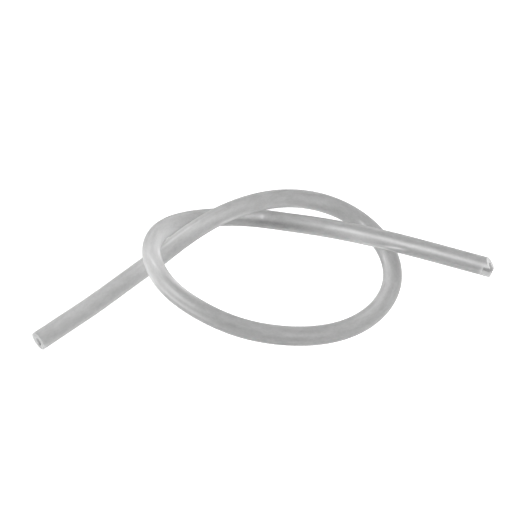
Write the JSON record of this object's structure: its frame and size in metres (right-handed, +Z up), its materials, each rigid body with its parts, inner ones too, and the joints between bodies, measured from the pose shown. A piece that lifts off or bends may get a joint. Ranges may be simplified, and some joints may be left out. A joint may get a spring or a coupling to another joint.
{
  "type": "knotted silicone tubing",
  "caption": "Short length of milky translucent silicone lab tubing in one loose overhand knot, open and bare at both ends.",
  "frame": {"origin": "on the surface that the tubing lies on, under the middle of its bounding box", "axes": "+X towards the snipped end, +Y away from the square end across the knot, +Z up from the surface"},
  "size_m": [0.1918, 0.0804, 0.0176],
  "materials": {
    "silicone": "smooth, milky translucent"
  },
  "bodies": {
    "root": {"tubing": "silicone"}
  },
  "joints": []
}
